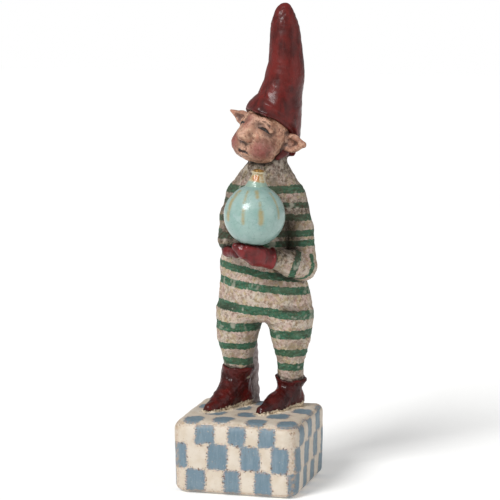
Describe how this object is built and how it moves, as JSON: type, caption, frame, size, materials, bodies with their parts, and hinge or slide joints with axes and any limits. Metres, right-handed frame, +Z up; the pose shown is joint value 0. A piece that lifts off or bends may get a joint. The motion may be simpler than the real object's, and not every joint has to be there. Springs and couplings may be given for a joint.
{
  "type": "gnome figurine",
  "caption": "Standing folk-art gnome in a striped suit and tall pointed hat, holding a round ornament, fixed on a checked rounded block.",
  "frame": {"origin": "centre of the felt's underside, on the surface that the block stands on", "axes": "+Z up along the figure; the block's front face and the figure's chest look towards -Y; +X is the figure's left"},
  "size_m": [0.058, 0.054, 0.22],
  "materials": {
    "checked_paint": "hand-painted cream and dusty blue checks, low sheen",
    "felt": "dark pressed felt",
    "bare_pulp": "rough pulp with a thin pinkish-grey wash, matt",
    "steel": "bare wire and rod, out of sight",
    "suit_paint": "crusty beige paint with green hoops and an ochre wash, low sheen",
    "oxblood_paint": "dark red paint under a worn satin varnish",
    "skin_paint": "flesh paint with rosy cheeks and brown wash in the creases",
    "dowel_wood": "bare beech, out of sight",
    "mint_glaze": "mint green paint under a gloss, crazed varnish with ochre strokes",
    "gilt": "worn gilt over cream"
  },
  "bodies": {
    "root": {"base_block": "checked_paint", "base_felt": "felt", "rear_support_post": "bare_pulp", "rear_post_peg": "steel", "right_leg_rod": "steel", "left_leg_rod": "steel", "right_boot": "oxblood_paint", "left_boot": "oxblood_paint", "right_leg": "suit_paint", "left_leg": "suit_paint", "torso": "suit_paint", "neck_collar": "suit_paint", "right_upper_arm": "suit_paint", "left_upper_arm": "suit_paint", "right_forearm": "suit_paint", "left_forearm": "suit_paint", "right_mitten": "oxblood_paint", "left_mitten": "oxblood_paint", "right_arm_wire": "steel", "left_arm_wire": "steel", "neck_dowel": "dowel_wood", "head": "skin_paint", "right_ear": "skin_paint", "left_ear": "skin_paint", "hat": "oxblood_paint", "hat_wire": "steel", "ornament_ball": "mint_glaze", "ornament_cap": "gilt", "ornament_ring": "gilt", "ornament_pin": "steel"}
  },
  "joints": []
}
